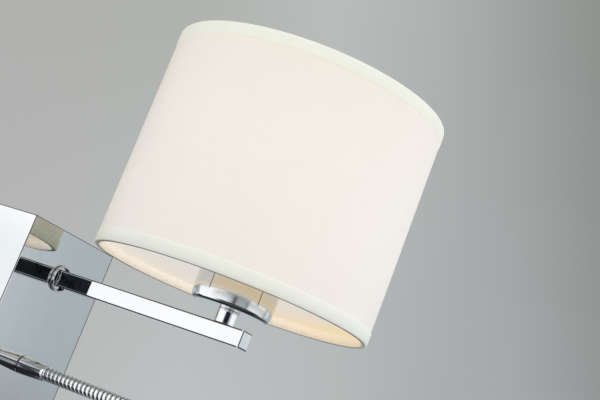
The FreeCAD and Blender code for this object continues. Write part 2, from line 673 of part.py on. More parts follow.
PARTS = {
    "wall_box": wall_box(),
    "mounting_plate": mounting_plate(),
    "cover_screws": cover_screws(),
    "cable_grommet": cable_grommet(),
    "terminal_block": terminal_block(),
    "terminal_screws": terminal_screws(),
    "earth_screw": earth_screw(),
    "led_driver": led_driver(),
    "lamp_leads": lamp_leads(),
    "reading_leads": reading_leads(),
    "switch_leads": switch_leads(),
    "earth_lead": earth_lead(),
    "switch_body_lamp": switch_body(-SWITCH_X),
    "switch_body_reading": switch_body(SWITCH_X),
    "switch_rocker_lamp": switch_rocker(-SWITCH_X),
    "switch_rocker_reading": switch_rocker(SWITCH_X),
    "switch_terminals": switch_terminals(),
    "arm_tube": arm_tube(),
    "arm_end_cap": arm_end_cap(),
    "arm_root_stud": arm_root_stud(),
    "arm_collar": arm_collar(),
    "panel_nuts": panel_nuts(),
    "post_tube": post_tube(),
    "post_nipple": post_nipple(),
    "post_nut": post_nut(),
    "lamp_cup": lamp_cup(),
    "holder_nut": holder_nut(),
    "holder_cap": holder_cap(),
    "holder_body": holder_body(),
    "holder_shell": holder_shell(),
    "holder_contact": holder_contact(),
    "shade_clamp_lower": shade_clamp_lower(),
    "shade_clamp_ring": shade_clamp_ring(),
    "bulb_cap": bulb_cap(),
    "bulb_collar": bulb_collar(),
    "bulb_globe": bulb_globe(),
    "shade_fabric": shade_fabric(),
    "shade_liner": shade_liner(),
    "shade_trim_top": shade_trim_top(),
    "shade_trim_bottom": shade_trim(SHADE_FOOT, 1),
    "shade_wire_top": shade_wire(SHADE_HEAD, -1),
    "shade_wire_bottom": shade_wire(SHADE_FOOT, 1),
    "shade_hub": shade_hub(),
    "shade_arms": shade_arms(),
    "flex_ferrule": flex_ferrule(),
    "flex_stud": flex_stud(),
    "head_ferrule": head_ferrule(),
    "head_housing": head_housing(),
    "head_heatsink": head_heatsink(),
    "head_led_board": head_led_board(),
    "head_led_chip": head_led_chip(),
    "head_optic": head_optic(),
    "head_bezel": head_bezel(),
}
for number in range(len(HOSE_JOINTS) + 1):
    PARTS[f"hose_link_{number}"] = hose_link(number)

os.makedirs("parts", exist_ok=True)
for name, shape in PARTS.items():
    shape.exportStep(f"parts/{name}.step")
    sound = shape.isValid() and all(s.isClosed() and s.Volume > 0 for s in shape.Solids)
    print(name, len(shape.Solids), "solids", round(shape.Volume), "mm3", "" if sound and shape.Solids else "NOT SOUND")

for s in HOSE_JOINTS + [HOSE_END]:
    point, down = hose_at(s)
    print("hose", s, [round(c, 3) for c in point], "down", round(math.degrees(down), 3))
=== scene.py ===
"""Looks for the bedside wall lamp: its materials, fabric shade, ribbed gooseneck, light and camera."""

import math

import bmesh
import bpy
from mathutils import Matrix, Vector


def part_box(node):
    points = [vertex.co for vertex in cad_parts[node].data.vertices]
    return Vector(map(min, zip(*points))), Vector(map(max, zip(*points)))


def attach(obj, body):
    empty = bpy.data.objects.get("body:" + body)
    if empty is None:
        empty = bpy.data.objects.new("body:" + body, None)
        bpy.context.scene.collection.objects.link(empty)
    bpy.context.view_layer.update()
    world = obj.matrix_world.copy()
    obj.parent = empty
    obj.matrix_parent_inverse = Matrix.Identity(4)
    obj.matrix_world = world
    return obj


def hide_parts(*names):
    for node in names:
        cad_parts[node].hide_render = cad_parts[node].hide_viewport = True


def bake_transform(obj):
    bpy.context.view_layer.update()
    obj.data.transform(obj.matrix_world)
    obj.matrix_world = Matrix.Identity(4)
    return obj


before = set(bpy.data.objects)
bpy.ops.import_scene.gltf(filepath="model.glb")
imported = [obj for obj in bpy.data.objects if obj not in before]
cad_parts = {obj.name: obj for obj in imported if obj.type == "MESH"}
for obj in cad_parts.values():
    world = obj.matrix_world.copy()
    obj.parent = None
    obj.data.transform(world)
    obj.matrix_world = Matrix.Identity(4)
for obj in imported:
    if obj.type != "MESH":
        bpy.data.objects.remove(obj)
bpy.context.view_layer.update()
scene = bpy.context.scene
scene.view_settings.view_transform = "Standard"
X, Y, Z = Vector((1, 0, 0)), Vector((0, 1, 0)), Vector((0, 0, 1))


# ---- where things are, read from the frame ----
def middle(node):
    low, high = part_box(node)
    return (Vector(low) + Vector(high)) / 2


def low_corner(node):
    return Vector(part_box(node)[0])


def high_corner(node):
    return Vector(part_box(node)[1])


SHADE = middle("shade_fabric")
RIM_LOW, RIM_HIGH = low_corner("shade_trim_bottom").z, high_corner("shade_trim_top").z
LINER_OUT = (high_corner("shade_liner").x - low_corner("shade_liner").x) / 2
CLOTH_OUT = (high_corner("shade_fabric").x - low_corner("shade_fabric").x) / 2
BOX_SIDE = high_corner("wall_box").x
FRONT = low_corner("wall_box").y
SEEN_FROM = math.radians(211)      # the side the lamp is seen from, as an angle round the shade
RIGHT = -0.9                       # the shade's right, seen from there
FOLD_OUT, FOLD_IN = 0.0772, 0.0768    # a tape's face inside the shade begins between these radii


# ---- shader graphs ----
def scaled(colour, by):
    return tuple(c * by for c in colour)


class Graph:
    """Short calls for building a node tree. A value is a number, a colour or another node's output."""

    def __init__(self, tree):
        self.tree = tree
        tree.nodes.clear()

    def node(self, kind, **values):
        made = self.tree.nodes.new(kind)
        for key, value in values.items():
            setattr(made, key, value)
        return made

    def join(self, value, socket):
        if isinstance(value, bpy.types.NodeSocket):
            self.tree.links.new(value, socket)
        else:
            socket.default_value = value

    def math(self, operation, a, b=0.0, c=0.0, clamp=False):
        made = self.node("ShaderNodeMath", operation=operation, use_clamp=clamp)
        for value, socket in zip((a, b, c), made.inputs):
            self.join(value, socket)
        return made.outputs[0]

    def times(self, a, b):
        return self.math("MULTIPLY", a, b)

    def larger(self, a, b):
        return self.math("MAXIMUM", a, b)

    def ramp(self, value, low, high, out_low=0.0, out_high=1.0, smooth=False):
        """Maps low..high to out_low..out_high, held at both ends."""
        kind = "SMOOTHSTEP" if smooth else "LINEAR"
        made = self.node("ShaderNodeMapRange", interpolation_type=kind)
        for value_in, socket in zip((value, low, high, out_low, out_high), made.inputs):
            self.join(value_in, socket)
        return made.outputs[0]

    def colours(self, value, *stops):
        """A colour ramp: each stop is (position, (r, g, b))."""
        made = self.node("ShaderNodeValToRGB")
        ramp = made.color_ramp
        while len(ramp.elements) < len(stops):
            ramp.elements.new(0.5)
        for element, (position, colour) in zip(ramp.elements, stops):
            element.position = position
            element.color = (*colour, 1.0)
        self.join(value, made.inputs[0])
        return made.outputs[0]

    def mix(self, share, a, b, blend="MIX"):
        made = self.node("ShaderNodeMix", data_type="RGBA", blend_type=blend)
        for value, socket in zip((share, a, b), (made.inputs[0], made.inputs[6], made.inputs[7])):
            if isinstance(value, tuple):
                value = (*value, 1.0)
            self.join(value, socket)
        return made.outputs[2]

    def point(self, scale=(1, 1, 1), move=(0, 0, 0)):
        """Object coordinates, scaled and moved."""
        where = self.node("ShaderNodeTexCoord").outputs["Object"]
        made = self.node("ShaderNodeMapping")
        self.join(where, made.inputs["Vector"])
        made.inputs["Location"].default_value = move
        made.inputs["Scale"].default_value = scale
        return made.outputs[0]

    def noise(self, where, scale, detail=3.0, rough=0.5, distort=0.0):
        made = self.node("ShaderNodeTexNoise")
        self.join(where, made.inputs["Vector"])
        made.inputs["Scale"].default_value = scale
        made.inputs["Detail"].default_value = detail
        made.inputs["Roughness"].default_value = rough
        made.inputs["Distortion"].default_value = distort
        return made.outputs[0]

    def parts(self, vector):
        made = self.node("ShaderNodeSeparateXYZ")
        self.join(vector, made.inputs[0])
        return made.outputs

    def vector(self, x, y, z):
        made = self.node("ShaderNodeCombineXYZ")
        for value, socket in zip((x, y, z), made.inputs):
            self.join(value, socket)
        return made.outputs[0]

    def bump(self, height, strength, distance):
        made = self.node("ShaderNodeBump")
        made.inputs["Strength"].default_value = strength
        made.inputs["Distance"].default_value = distance
        self.join(height, made.inputs["Height"])
        return made.outputs[0]

    def round_shade(self, centre):
        """(distance round the axis in metres, height, angle) about an upright axis through centre."""
        x, y, z = self.parts(self.point(move=(-centre.x, -centre.y, 0)))
        angle = self.math("ARCTAN2", y, x)
        return self.times(angle, CLOTH_OUT), z, angle

    def finish(self, **inputs):
        """Ends the tree in one Principled shader; Base_Color is its Base Color, and so on."""
        shader = self.node("ShaderNodeBsdfPrincipled")
        for key, value in inputs.items():
            socket = shader.inputs[key.replace("_", " ")]
            if isinstance(value, tuple):
                value = (*value, 1.0)
            self.join(value, socket)
        out = self.node("ShaderNodeOutputMaterial")
        self.tree.links.new(shader.outputs[0], out.inputs["Surface"])


def material(name):
    made = bpy.data.materials.new(name)
    made.use_nodes = True
    return made, Graph(made.node_tree)


def chrome(name, tint=(0.705, 0.722, 0.733), gloss=0.02, smear=0.05, wobble=0.12,
           edges=False, grooves=False, foot=False, lip=False):
    """Polished chrome plate: faint orange peel, hazy finger marks and wiping scratches. Where asked, its
    colour
    is painted dark: dark reflections on rounded edges and on a lip that faces down, shade in grooves, and
    a shadow at a foot against the box."""
    made, g = material(name)
    where = g.point()
    haze = g.ramp(g.noise(where, 38, 4, 0.6, 0.4), 0.45, 0.75)
    x, y, z = g.parts(where)
    across, along = 900, 60          # scratches per metre, across and along the wiping
    wiped = g.noise(g.vector(g.times(x, across), g.times(y, across), g.times(z, along)), 1.0, 2)
    scratch = g.ramp(wiped, 0.62, 0.70)
    rough = g.math("MULTIPLY_ADD", haze, smear, gloss)
    rough = g.math("MULTIPLY_ADD", scratch, smear * 0.5, rough)
    colour = g.mix(g.times(haze, 0.7), tint, scaled(tint, 0.94))
    if edges:
        nx, ny, nz = g.parts(g.node("ShaderNodeTexCoord").outputs["Normal"])
        flat = g.larger(g.math("ABSOLUTE", nx), g.larger(g.math("ABSOLUTE", ny), g.math("ABSOLUTE", nz)))
        # painted dark reflection: a line down the front beside the box's right edge
        line = g.times(g.ramp(x, BOX_SIDE - 0.0015, BOX_SIDE - 0.0011), g.ramp(ny, -0.9, -0.99))
        # painted dark reflection on every rounded edge, fainter where an upright one turns to the left
        rounded = g.ramp(flat, 0.93, 0.975, 0.98, 0.0)
        upright = g.ramp(nx, -0.1, 0.1, 0.4, 1.0)
        rounded = g.times(rounded, g.ramp(g.math("ABSOLUTE", nz), 0.05, 0.2, upright, 1.0))
        line = g.larger(rounded, g.times(line, 0.8))
        # the painted dark reflections go into the plate's colour
        colour = g.mix(line, colour, (0.015, 0.016, 0.018))
    if foot:
        # painted shadow where the part meets the box's front
        near = g.ramp(y, FRONT - 0.0007, FRONT - 0.0003, 0.0, 0.96)
        colour = g.mix(near, colour, (0.01, 0.01, 0.011))
    if lip:
        # painted dark reflection on the faces that look down
        down = g.parts(g.node("ShaderNodeTexCoord").outputs["Normal"])[2]
        down = g.times(g.ramp(down, -0.52, -0.62), g.ramp(down, -0.999, -0.985))
        colour = g.mix(g.times(down, 0.95), colour, (0.012, 0.013, 0.014))
    if grooves:
        # painted shade in the hose's grooves, from the groove depths laid on its mesh
        deep = g.node("ShaderNodeAttribute", attribute_name="groove").outputs["Fac"]
        colour = g.mix(g.times(deep, 0.97), colour, (0.01, 0.01, 0.011))
    peel = g.noise(where, 55, 2, 0.4)
    fine = g.noise(where, 900, 2, 0.5)
    height = g.math("MULTIPLY_ADD", fine, 0.015, peel)
    g.finish(Base_Color=colour, Metallic=1.0, Roughness=rough, Normal=g.bump(height, wobble, 0.0004))
    return made


def steel(name, tint, rough=0.34):
    """Zinc-plated or machined metal, with a fine grain and dull patches."""
    made, g = material(name)
    grain = g.noise(g.point((1, 1, 14)), 420, 3, 0.6)
    patches = g.noise(g.point(), 60, 4, 0.6)
    colour = g.colours(patches, (0.3, scaled(tint, 0.82)), (0.7, tint))
    roughness = g.math("MULTIPLY_ADD", patches, 0.25, rough - 0.1)
    g.finish(Base_Color=colour, Metallic=1.0, Roughness=roughness, Normal=g.bump(grain, 0.25, 0.0002))
    return made


def plastic(name, colour, rough=0.4, grain=0.0002, specular=0.45):
    """Moulded plastic with spark-eroded grain, and uneven gloss from handling."""
    made, g = material(name)
    where = g.point()
    worn = g.noise(where, 70, 4, 0.6)
    shade = g.colours(worn, (0.35, scaled(colour, 0.88)), (0.7, colour))
    roughness = g.math("MULTIPLY_ADD", worn, 0.22, rough - 0.11)
    fine = g.noise(where, 1500, 2, 0.6)
    g.finish(Base_Color=shade, Roughness=roughness, Specular_IOR_Level=specular,
             Normal=g.bump(fine, 0.3, grain))
    return made


def weave(g, around, up, pitch):
    """A plain weave, with around and up in metres: (height, slubs round the shade, slubs up it)."""
    slub = g.noise(g.vector(g.times(around, 30), g.times(up, 900), 0.0), 1.0, 2)
    slub_up = g.noise(g.vector(g.times(around, 900), g.times(up, 22), 3.0), 1.0, 2)
    turn = 2 * math.pi / pitch
    warp = g.math("SINE", g.times(around, turn))
    weft = g.math("SINE", g.times(up, turn))
    over = g.times(g.math("SINE", g.times(around, turn / 2)),
                  g.math("SINE", g.times(up, turn / 2)))
    threads = g.larger(warp, weft)
    height = g.math("MULTIPLY_ADD", over, 0.35, threads)
    return height, slub, slub_up


def cloth(name, colour, glow, strength, pitch, turn_in=()):
    """Fine cotton over a lit liner: plain weave with slubs both ways, and less light on the wall side.
    turn_in is for a tape: its glow inside the shade at the fold, at its edge, and on the right. It also
    paints shade on the tape's underside and near its lower rim."""
    made, g = material(name)
    around, up, angle = g.round_shade(SHADE)
    height, slub, slub_up = weave(g, around, up, pitch)
    uneven = g.math("ADD", g.times(slub, 0.5), g.times(slub_up, 0.5))
    thread = g.ramp(uneven, 0.3, 0.7, 0.965, 1.02)
    gaps = g.ramp(height, -0.9, 0.4, 0.95, 1.0)
    tone = g.times(thread, gaps)
    cloudy = g.noise(g.point(), 11, 2)
    base = g.mix(cloudy, scaled(colour, 0.97), colour)
    base = g.mix(1.0, base, g.vector(tone, tone, tone), "MULTIPLY")
    share = g.ramp(up, RIM_LOW, RIM_HIGH)
    top = tuple(c * k for c, k in zip(glow, (0.95, 0.92, 0.86)))
    lamp = g.colours(share, (0.0, scaled(glow, 0.86)), (0.3, scaled(glow, 0.94)),
                     (0.6, scaled(glow, 0.98)), (1.0, top))
    lamp = g.mix(1.0, lamp, g.vector(tone, tone, tone), "MULTIPLY")
    wall_side = g.ramp(g.math("SINE", angle), 0.35, 0.95, smooth=True)
    shaded = g.colours(share, (0.03, (0.64, 0.61, 0.40)), (0.2, (0.98, 0.94, 0.66)),
                       (0.45, (0.80, 0.79, 0.73)))
    lamp = g.mix(wall_side, lamp, g.mix(1.0, lamp, shaded, "MULTIPLY"))
    if turn_in:
        px, py, pz = g.parts(g.point(move=(-SHADE.x, -SHADE.y, 0)))
        radius = g.math("SQRT", g.math("ADD", g.times(px, px), g.times(py, py)))
        inside = g.ramp(radius, FOLD_OUT, FOLD_IN)
        deep = g.mix(g.ramp(up, RIM_LOW, RIM_LOW + 0.005), *turn_in[:2])
        rightward = g.math("COSINE", g.math("SUBTRACT", angle, RIGHT))
        deep = g.mix(g.ramp(rightward, 0.2, 0.9), deep, turn_in[2])
        lamp = g.mix(inside, lamp, deep)
        # painted shade: the underside is darkest where the rim runs away from the side it is seen from
        broadside = g.math("ABSOLUTE", g.math("COSINE", g.math("SUBTRACT", angle, SEEN_FROM)))
        darkest = g.ramp(broadside, 0.1, 0.55, 0.45, 0.13)
        underside_shade = g.ramp(up, RIM_LOW + 0.00002, RIM_LOW + 0.00042, darkest, 1.0, smooth=True)
        # painted shadow near the fold, over the band's lowest 6 mm
        underside_shade = g.times(underside_shade, g.ramp(up, RIM_LOW, RIM_LOW + 0.006, 0.86, 1.0))
        lamp = g.mix(1.0, lamp, g.vector(underside_shade, underside_shade, underside_shade), "MULTIPLY")
        base = g.mix(1.0, base, g.vector(underside_shade, underside_shade, underside_shade), "MULTIPLY")
    g.finish(Base_Color=base, Roughness=0.88, Specular_IOR_Level=0.2, Sheen_Weight=0.2,
             Sheen_Roughness=0.5, Emission_Color=lamp, Emission_Strength=strength,
             Normal=g.bump(height, 0.35, 0.00012))
    return made


def liner(name):
    """Milky liner seen from inside: lit by the bulb, warmer towards the lower rim and on the right."""
    made, g = material(name)
    around, up, angle = g.round_shade(SHADE)
    marks = g.noise(g.vector(g.times(around, 60), g.times(up, 12), 0.0), 1.0, 3)
    share = g.ramp(g.math("MULTIPLY_ADD", marks, 0.004, up), RIM_LOW + 0.002, RIM_LOW + 0.062)
    right = g.larger(g.math("COSINE", g.math("SUBTRACT", angle, RIGHT)), 0.0)
    share = g.math("MULTIPLY_ADD", right, -0.16, share)
    near = g.math("COSINE", g.math("SUBTRACT", angle, SEEN_FROM))
    share = g.math("ADD", share, g.ramp(near, 0.2, 0.95, 0.0, -0.28, smooth=True), clamp=True)
    warm = g.colours(share, (0.0, (0.70, 0.52, 0.27)), (0.05, (0.66, 0.535, 0.37)),
                     (0.14, (0.615, 0.55, 0.475)), (0.30, (0.575, 0.56, 0.55)), (1.0, (0.60, 0.59, 0.57)))
    g.finish(Base_Color=(0.50, 0.49, 0.47), Roughness=0.42, Emission_Color=warm, Emission_Strength=0.74,
             Normal=g.bump(marks, 0.1, 0.0004))
    return made


def opal(name):
    """Frosted glass bulb, alight."""
    made, g = material(name)
    frost = g.noise(g.point(), 260, 3)
    glow = g.mix(frost, (1.0, 0.80, 0.55), (1.0, 0.86, 0.64))
    g.finish(Base_Color=(0.95, 0.93, 0.90), Roughness=g.math("MULTIPLY_ADD", frost, 0.2, 0.3),
             Emission_Color=glow, Emission_Strength=1.1, Normal=g.bump(frost, 0.1, 0.0003))
    return made


def clear(name):
    """Moulded optic with fine rings."""
    made, g = material(name)
    rings = g.noise(g.point(), 500, 2)
    rough = g.math("MULTIPLY_ADD", rings, 0.08, 0.04)
    g.finish(Base_Color=(0.93, 0.95, 0.96), Roughness=rough, IOR=1.49, Transmission_Weight=0.85,
             Normal=g.bump(rings, 0.3, 0.0005))
    return made


CHROME_CUP = chrome("chrome_spun", gloss=0.13, smear=0.06, lip=True)
CHROME_SMALL = chrome("chrome_turned", (0.72, 0.73, 0.74), smear=0.03, wobble=0.03)
CHROME_FOOT_SHADOW = chrome("chrome_turned_foot_shadow", (0.72, 0.73, 0.74), smear=0.03, wobble=0.03, foot=True)
CHROME_EDGE_SHADE = chrome("chrome_plate_edge_shade", edges=True)
CHROME_HOSE = chrome("chrome_hose", (0.72, 0.735, 0.745), gloss=0.05, smear=0.06, wobble=0.05,
                     grooves=True)
STEEL = steel("zinc_steel", (0.58, 0.59, 0.60))
BRASS = steel("bare_brass", (0.75, 0.56, 0.26), 0.3)
ALUMINIUM = steel("turned_aluminium", (0.70, 0.70, 0.71), 0.3)
BLACK = plastic("black_plastic", (0.022, 0.022, 0.024), 0.42)
WHITE = plastic("white_plastic", (0.80, 0.79, 0.75), 0.32)
RUBBER = plastic("black_rubber", (0.02, 0.02, 0.02), 0.75, 0.0004, 0.2)
BROWN = plastic("brown_lead", (0.11, 0.05, 0.025), 0.4)
BLUE = plastic("blue_lead", (0.03, 0.09, 0.34), 0.4)
GREEN = plastic("green_lead", (0.10, 0.28, 0.06), 0.4)
BOARD = plastic("white_board", (0.74, 0.76, 0.74), 0.3)
PHOSPHOR = plastic("phosphor", (0.85, 0.62, 0.10), 0.5)
WIRE = plastic("coated_wire", (0.78, 0.77, 0.73), 0.35)
CLOTH = cloth("cream_cotton", (0.81, 0.785, 0.755), (1.0, 0.89, 0.735), 0.42, 0.00055)
TAPE = cloth("edge_tape", (0.77, 0.78, 0.71), (0.91, 0.91, 0.79), 0.46, 0.00070,
             turn_in=((1.10, 0.83, 0.58), (1.06, 0.89, 0.74), (1.13, 0.78, 0.40)))
LINER = liner("lit_liner")
OPAL = opal("opal_glass")
OPTIC = clear("clear_optic")

FINISH = {
    CHROME_EDGE_SHADE: ("wall_box", "arm_tube", "arm_end_cap"),
    CHROME_CUP: ("lamp_cup",),
    CHROME_SMALL: ("cover_screws", "arm_collar", "post_tube", "flex_ferrule", "head_ferrule",
                   "head_housing", "head_bezel"),
    CHROME_HOSE: tuple(f"hose_link_{k}" for k in range(6)),
    STEEL: ("mounting_plate", "arm_root_stud", "panel_nuts", "post_nipple", "post_nut", "holder_nut",
            "flex_stud"),
    BRASS: ("terminal_screws", "earth_screw", "switch_terminals", "holder_shell", "holder_contact"),
    ALUMINIUM: ("bulb_cap", "head_heatsink"),
    BLACK: ("switch_body_lamp", "switch_body_reading", "switch_rocker_lamp", "switch_rocker_reading"),
    WHITE: ("terminal_block", "led_driver", "holder_cap", "holder_body", "shade_clamp_lower",
            "shade_clamp_ring", "bulb_collar"),
    RUBBER: ("cable_grommet",),
    BROWN: ("lamp_leads", "switch_leads"),
    BLUE: ("reading_leads",),
    GREEN: ("earth_lead",),
    BOARD: ("head_led_board",),
    PHOSPHOR: ("head_led_chip",),
    WIRE: ("shade_wire_top", "shade_wire_bottom", "shade_hub", "shade_arms"),
    CLOTH: ("shade_fabric",),
    TAPE: ("shade_trim_top", "shade_trim_bottom"),
    LINER: ("shade_liner",),
    OPAL: ("bulb_globe",),
    OPTIC: ("head_optic",),
}
for finish, nodes in FINISH.items():
    for name in nodes:
        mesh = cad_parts[name].data
        mesh.materials.clear()
        mesh.materials.append(finish)


# ---- meshes ----
def piece(name, points, faces, finish):
    """A smooth closed mesh whose faces all look outwards."""
    mesh = bpy.data.meshes.new(name)
    mesh.from_pydata(points, [], faces)
    mesh.materials.append(finish)
    mesh.update()
    shape = bmesh.new()
    shape.from_mesh(mesh)
    if shape.calc_volume(signed=True) < 0:
        mesh.flip_normals()
    shape.free()
    mesh.shade_smooth()
    made = bpy.data.objects.new(name, mesh)
    scene.collection.objects.link(made)
    return made


def grid_faces(rows, columns, close_rows=False):
    """Quads over rows of points. Each row is a ring, and so are the rows where asked."""
    faces = []
    for i in range(rows if close_rows else rows - 1):
        for j in range(columns):
            a, b = i * columns, (i + 1) % rows * columns
            k = (j + 1) % columns
            faces.append((a + j, a + k, b + k, b + j))
    return faces


# ---- turned chrome: smooth rings, post and ferrule ----
def turned(name, node, profile, foot, along, finish, segments=96):
    """Revolves a closed profile of (radius, distance along) in millimetres, in place of one CAD node."""
    side = along.orthogonal().normalized()
    other = along.cross(side)
    points = []
    for i in range(segments):
        angle = 2 * math.pi * i / segments
        out = side * math.cos(angle) + other * math.sin(angle)
        points += [foot + (out * r + along * h) / 1000 for r, h in profile]
    made = piece(name, points, grid_faces(segments, len(profile), close_rows=True), finish)
    # narrower than half of any profile's shortest chamfer, so that no face closes up
    soften = made.modifiers.new("soft_edges", "BEVEL")
    soften.limit_method, soften.angle_limit = "ANGLE", math.radians(28)
    soften.width, soften.segments, soften.harden_normals = 0.00013, 3, True
    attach(made, "wall_unit")
    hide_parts(node)


def bead(radius, middle_r, middle_h, flat=1.0, steps=20):
    """A round section, or an oval one flat times as long as it is thick."""
    return [(middle_r + radius * math.cos(a), middle_h + radius * flat * math.sin(a))
            for a in (2 * math.pi * k / steps for k in range(steps))]


arm, goose = middle("arm_tube"), middle("flex_ferrule")
turned("collar_ring", "arm_collar", bead(0.65, 7.45, 1.2, flat=1.8), Vector((0, FRONT, arm.z)), -Y,
       CHROME_FOOT_SHADOW)
turned("gooseneck_ferrule", "flex_ferrule",
       [(4.05, 0), (5.2, 0), (5.45, 0.12), (5.6, 0.5), (5.6, 1.5), (5.58, 3.0), (5.5, 5.0), (5.4, 7.0),
        (5.28, 9.5), (5.12, 12.5), (4.95, 15.0), (4.78, 17.0), (4.68, 18.2), (4.5, 18.8), (4.3, 19.0),
        (2.6, 19.0), (2.6, 9.0), (4.05, 9.0)], Vector((0, FRONT, goose.z)), -Y, CHROME_FOOT_SHADOW)
post = middle("post_tube")
turned("post", "post_tube", [(3.1, 0), (6.0, 0), (6.2, 0.2), (6.2, 7.8), (6.0, 8.0), (3.1, 8.0)],
       Vector((post.x, post.y, low_corner("post_tube").z)), Z, CHROME_SMALL)


# ---- the shade's cloth and edge tapes ----
def revolved(name, rings, finish, wave, segments=288):
    """A closed ring of profile points (radius, z), turned round the shade's axis. wave(angle, k) is added
    to point k's (radius, z)."""
    points = []
    for i in range(segments):
        angle = 2 * math.pi * i / segments
        for k, (r, z) in enumerate(rings):
            dr, dz = wave(angle, k)
            across, out = (r + dr) * math.cos(angle), (r + dr) * math.sin(angle)
            points.append((SHADE.x + across, SHADE.y + out, z + dz))
    return piece(name, points, grid_faces(segments, len(rings), close_rows=True), finish)


SEAM = math.pi / 2          # the joins face the wall
CLOTH_LAP = 0.012           # how much of its length overlaps at the join
CLOTH_INSET = 0.0012        # from each rim to the cloth's edge, under the tape


def joined(angle, width):
    """1 within a join's overlap, 0 away from it."""
    off = abs((angle - SEAM + math.pi) % (2 * math.pi) - math.pi) * CLOTH_OUT
    return min(1.0, max(0.0, (width - off) / 0.0006))


def shade_cloth():
    """Cloth glued round the stiff liner, its two ends lapped on the wall side."""
    out, inner = CLOTH_OUT + 0.00010, LINER_OUT + 0.00002
    low, high = RIM_LOW + CLOTH_INSET, RIM_HIGH - CLOTH_INSET
    rows = 24
    rings = [(out, low + (high - low) * k / rows) for k in range(rows + 1)]
    rings += [(inner, z) for r, z in reversed(rings)]

    def wave(angle, k):
        if k > rows:
            return 0.0, 0.0
        height = k / rows * 9
        ripple = math.sin(3 * angle + 1.1 + height) + 0.6 * math.sin(7 * angle - 0.7 * height)
        ripple += 0.4 * math.sin(17 * angle + height)
        return 0.00002 * ripple + 0.00012 * joined(angle, CLOTH_LAP / 2), 0.0

    made = revolved("shade_cloth", rings, CLOTH, wave)
    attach(made, "wall_unit")
    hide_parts("shade_fabric")
    return made


def edge_tape(name, rim, inward, node):
    """Tape folded over a rim: a band glued outside, a soft roll over the edge, and a turn-in round the
    wire. Its section is in millimetres, out from the shade's axis and in from the rim."""
    outside = [(79.72, 7.5), (79.90, 7.42), (79.92, 6.8), (79.92, 4.6), (79.94, 2.4), (79.90, 1.3),
               (79.72, 0.62), (79.35, 0.22), (78.80, 0.04), (78.10, 0.0), (77.40, 0.05), (76.80, 0.26),
               (76.40, 0.62), (76.22, 1.2), (76.17, 2.2), (76.20, 5.4)]
    inside = [(76.45, 5.4), (76.50, 1.4), (77.00, 0.55), (78.10, 0.32), (79.05, 0.5), (79.40, 1.4),
              (79.45, 7.4)]
    rings = [(r / 1000, rim + inward * h / 1000) for r, h in outside + inside]
    phase = 1.7 if inward > 0 else 4.4

    def wave(angle, k):
        if k >= len(outside):
            return 0.0, 0.0
        pull = math.sin(11 * angle + phase) + 0.7 * math.sin(29 * angle + 2 * phase)
        pull += 0.4 * math.sin(67 * angle)
        edge = 0.00008 * pull if k < 3 else 0.0
        roll = -0.00003 * abs(pull) if 4 < k < 14 else 0.0
        lap = 0.00005 * joined(angle, 0.005) if 1 <= k <= 6 else 0.0
        return roll + lap, edge

    made = revolved(name, rings, TAPE, wave, segments=360)
    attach(made, "wall_unit")
    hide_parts(node)
    return made


tape_low = edge_tape("shade_tape_bottom", RIM_LOW, 1, "shade_trim_bottom")
tape_high = edge_tape("shade_tape_top", RIM_HIGH, -1, "shade_trim_top")
cloth_piece = shade_cloth()


# ---- the ribbed gooseneck ----
STRAIGHT, BEND_R, BEND_ANGLE, HOSE_LENGTH = 0.085, 0.120, math.radians(50), 0.205
PIVOTS = (0.014, 0.054, 0.094, 0.134, 0.174)      # the gooseneck's hinges, as distances along the hose
RIB_PITCH, RIB_R, RIB_DEPTH = 0.0031, 0.00418, 0.0011
HOSE_START = Vector((0, low_corner("flex_ferrule").y, middle("flex_ferrule").z))


def hose_at(s):
    """Centre line point at distance s, and how far the hose points down there."""
    down = min(max(s - STRAIGHT, 0) / BEND_R, BEND_ANGLE)
    before = HOSE_START - Y * min(s, STRAIGHT)
    after = max(s - STRAIGHT - BEND_ANGLE * BEND_R, 0)
    along = Vector((0, -math.cos(down), -math.sin(down)))
    bend = Vector((0, -math.sin(down), math.cos(down) - 1)) * BEND_R
    return before + bend + along * after, down


def rib(turn):
    """Radius of the hose's wound strip at a share of its pitch: round crests and narrow grooves."""
    side = 2 * (turn % 1.0) - 1
    return RIB_R - RIB_DEPTH * (1 - math.sqrt(max(0.0, 1 - abs(side) ** 3.0)))


def hose_run(name, start, end):
    """A length of ribbed hose with closed ends, laid along the hose's centre line at rest."""
    sides, per_pitch = 28, 14
    steps = round((end - start) / RIB_PITCH * per_pitch)
    points, grooves = [], []
    for i in range(steps + 1):
        s = start + (end - start) * i / steps
        at, down = hose_at(s)
        up = Vector((0, -math.sin(down), math.cos(down)))
        for j in range(sides):
            angle = 2 * math.pi * j / sides
            radius = rib(s / RIB_PITCH - j / sides)
            points.append(at + (X * math.cos(angle) + up * math.sin(angle)) * radius)
            # how deep each point lies in a groove, for the painted groove shade
            grooves.append(min(1.0, max(0.0, (RIB_R - radius) / RIB_DEPTH * 2.6 - 0.4)))
    last = steps * sides
    caps = [tuple(reversed(range(sides))), tuple(range(last, last + sides))]
    made = piece(name, points, grid_faces(steps + 1, sides) + caps, CHROME_HOSE)
    for edge in made.data.edges:      # the closed ends don't bend the shading of the side
        edge.use_edge_sharp = max(edge.vertices) < sides or min(edge.vertices) >= last
    made.data.attributes.new("groove", "FLOAT", "POINT").data.foreach_set("value", grooves)
    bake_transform(made)
    return made


ends = [0.0] + [(a + b) / 2 for a, b in zip(PIVOTS, PIVOTS[1:])] + [HOSE_LENGTH]
for k, pivot in enumerate(PIVOTS):
    run = hose_run(f"gooseneck_hose_{k + 1}", ends[k], ends[k + 1])
    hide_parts(*((f"hose_link_{k}", "hose_link_5") if k == 4 else (f"hose_link_{k}",)))


# ---- light ----
def shown(*levels):
    """Display values 0-255 as linear light."""
    return tuple(((v / 255 + 0.055) / 1.055) ** 2.4 for v in levels)


